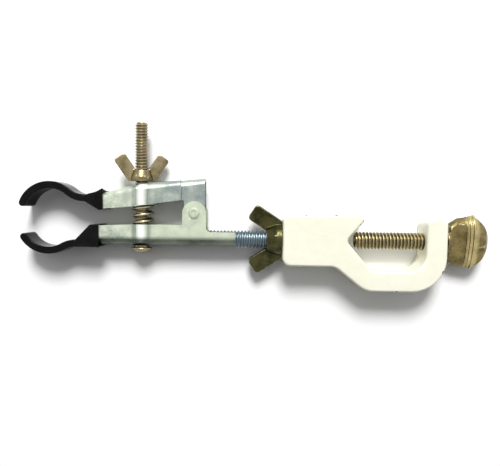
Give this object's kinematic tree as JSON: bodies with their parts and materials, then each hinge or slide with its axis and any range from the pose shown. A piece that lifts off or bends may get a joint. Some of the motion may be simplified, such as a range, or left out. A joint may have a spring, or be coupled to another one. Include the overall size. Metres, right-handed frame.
{
  "type": "boss head clamp",
  "caption": "Small laboratory clamp with sleeved curved jaws on a threaded stem, locked by a wing nut into a cast boss head with a V notch and a thumb screw for a stand rod.",
  "frame": {"origin": "on the axis of a stand rod seated in the V notch, level with the back face of the boss", "axes": "+X from the jaws to the thumb screw along the stem, +Y from the lower arm to the upper arm, +Z along the stand rod out of the front face"},
  "size_m": [0.1715, 0.0603, 0.0116],
  "materials": {
    "white_paint": "gloss enamel on a casting",
    "brass_plate": "dull brass plating",
    "zinc_sheet": "bright zinc on pressed sheet",
    "zinc_rod": "blue zinc on a thread",
    "black_vinyl": "glossy dipped vinyl"
  },
  "bodies": {
    "boss": {"boss_body": "white_paint"},
    "thumb_screw": {"thumb_screw": "brass_plate"},
    "clamp": {"stem_rod": "zinc_rod", "lower_arm": "zinc_sheet", "lower_jaw_sleeve": "black_vinyl", "pivot_rivet": "zinc_sheet", "jaw_screw": "brass_plate", "jaw_spring": "brass_plate"},
    "lock_nut": {"lock_wing_nut": "brass_plate"},
    "upper_jaw": {"upper_arm": "zinc_sheet", "upper_jaw_sleeve": "black_vinyl"},
    "jaw_nut": {"jaw_wing_nut": "brass_plate"}
  },
  "joints": [
    {"name": "thumb_screw_travel", "type": "slide", "parent": "boss", "child": "thumb_screw", "axis": [1, 0, 0], "range_m": [0, 0.022]},
    {"name": "stem_turn", "type": "hinge", "parent": "boss", "child": "clamp", "pos_m": [-0.04, 0, 0.0055], "axis": [1, 0, 0], "continuous": true},
    {"name": "lock_nut_travel", "type": "slide", "parent": "clamp", "child": "lock_nut", "axis": [-1, 0, 0], "range_m": [0, 0.007]},
    {"name": "jaw_hinge", "type": "hinge", "parent": "clamp", "child": "upper_jaw", "pos_m": [-0.06351, 0.0094, 0.0055], "axis": [0, 0, 1], "range_deg": [-10, 8], "deforming": ["jaw_spring"]},
    {"name": "jaw_nut_travel", "type": "slide", "parent": "clamp", "child": "jaw_nut", "axis": [0, 1, 0], "range_m": [-0.0025, 0.0032]}
  ],
  "couplings": [
    {"joint": "jaw_nut_travel", "follows": "jaw_hinge", "m_per_rad": -0.0141}
  ]
}
